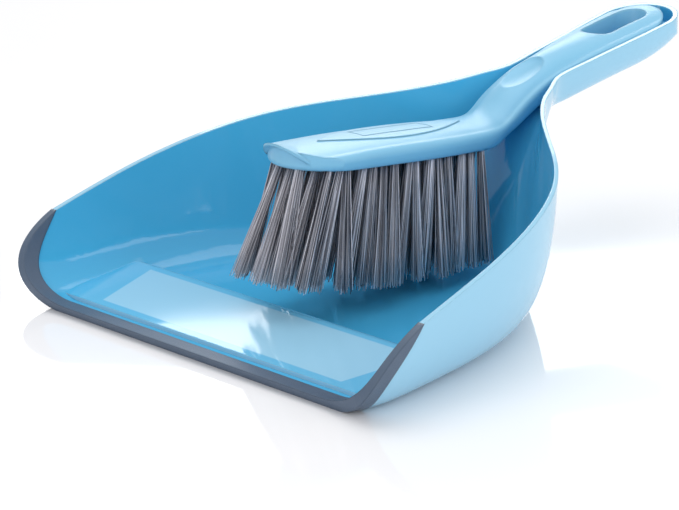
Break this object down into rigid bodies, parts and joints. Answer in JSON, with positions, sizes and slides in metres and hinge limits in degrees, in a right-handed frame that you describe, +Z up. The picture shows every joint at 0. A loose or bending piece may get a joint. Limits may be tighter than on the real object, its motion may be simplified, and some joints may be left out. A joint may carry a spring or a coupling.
{
  "type": "dust pan and brush set",
  "caption": "Scoop-shaped dust pan with a rubber-edged mouth and trough handle, with a nesting hand brush of set-in bristle tufts.",
  "frame": {"origin": "centre of the footprint, on the floor that the pan lies on", "axes": "+Z up, -Y out of the pan's mouth, +Y along the handles, X = 0 is the plane of symmetry"},
  "size_m": [0.2354, 0.3162, 0.1028],
  "materials": {
    "pan_plastic": "polished injection-moulded polypropylene, sky blue",
    "lip_rubber": "matte overmoulded thermoplastic rubber, slate blue",
    "brush_plastic": "satin injection-moulded polypropylene, sky blue",
    "bristle": "extruded polypropylene filament, grey",
    "anchor_wire": "drawn steel wire"
  },
  "bodies": {
    "dustpan": {"pan_shell": "pan_plastic", "rubber_lip": "lip_rubber"},
    "brush": {"brush_stock": "brush_plastic", "tuft_column_01": "bristle", "tuft_column_02": "bristle", "tuft_column_03": "bristle", "tuft_column_04": "bristle", "tuft_column_05": "bristle", "tuft_column_06": "bristle", "tuft_column_07": "bristle", "tuft_column_08": "bristle", "tuft_column_09": "bristle", "tuft_column_10": "bristle", "tuft_column_11": "bristle", "tuft_column_12": "bristle", "tuft_column_13": "bristle", "tuft_column_14": "bristle", "tuft_column_15": "bristle", "tuft_column_16": "bristle", "anchor_column_01": "anchor_wire", "anchor_column_02": "anchor_wire", "anchor_column_03": "anchor_wire", "anchor_column_04": "anchor_wire", "anchor_column_05": "anchor_wire", "anchor_column_06": "anchor_wire", "anchor_column_07": "anchor_wire", "anchor_column_08": "anchor_wire", "anchor_column_09": "anchor_wire", "anchor_column_10": "anchor_wire", "anchor_column_11": "anchor_wire", "anchor_column_12": "anchor_wire", "anchor_column_13": "anchor_wire", "anchor_column_14": "anchor_wire", "anchor_column_15": "anchor_wire", "anchor_column_16": "anchor_wire"}
  },
  "joints": [
    {"name": "brush_lift", "type": "slide", "parent": "dustpan", "child": "brush", "axis": [0, 0, 1], "range_m": [0, 0.12]}
  ]
}
